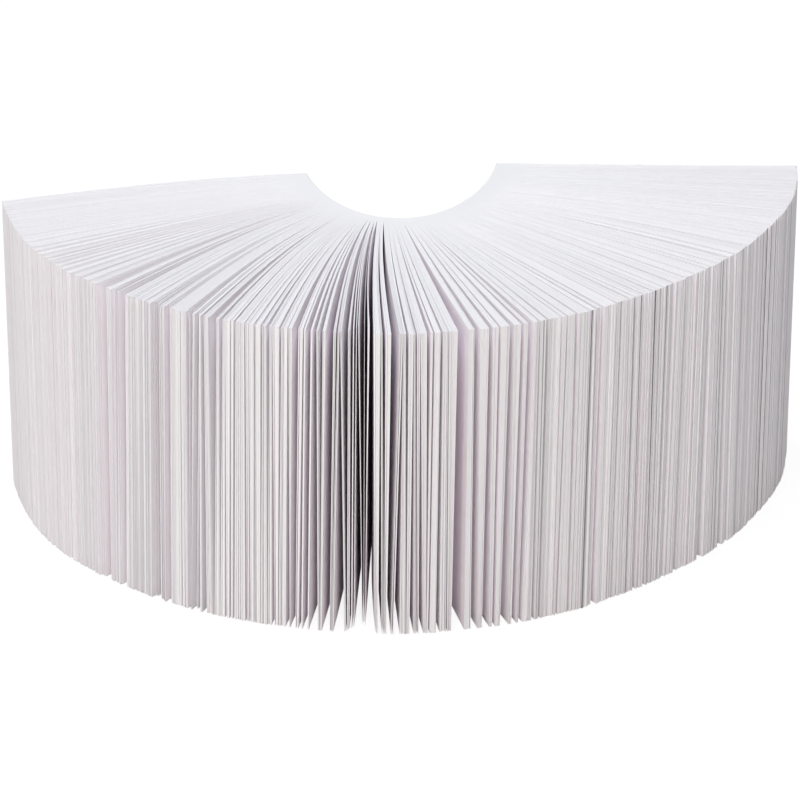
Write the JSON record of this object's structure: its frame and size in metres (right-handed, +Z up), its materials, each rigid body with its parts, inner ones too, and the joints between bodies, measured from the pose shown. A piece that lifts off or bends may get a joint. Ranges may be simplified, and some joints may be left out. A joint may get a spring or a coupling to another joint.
{
  "type": "note paper cube",
  "caption": "Padded block of blank white note sheets, standing on the sheets' edges and fanned open so that the glued edge bends into a U.",
  "frame": {"origin": "centre of the object's bounding box in plan, on the plane that the sheets' lower edges stand on", "axes": "+Z up along the sheets' glued edge, -Y towards the middle of the fan, +Y out of the open side of the bent glued edge, +X along the fan's width"},
  "size_m": [0.2362, 0.137, 0.09],
  "materials": {
    "paper": "matt uncoated",
    "padding_glue": "dull film"
  },
  "bodies": {
    "root": {"sheets": "paper", "glue_spine": "padding_glue"}
  },
  "joints": []
}
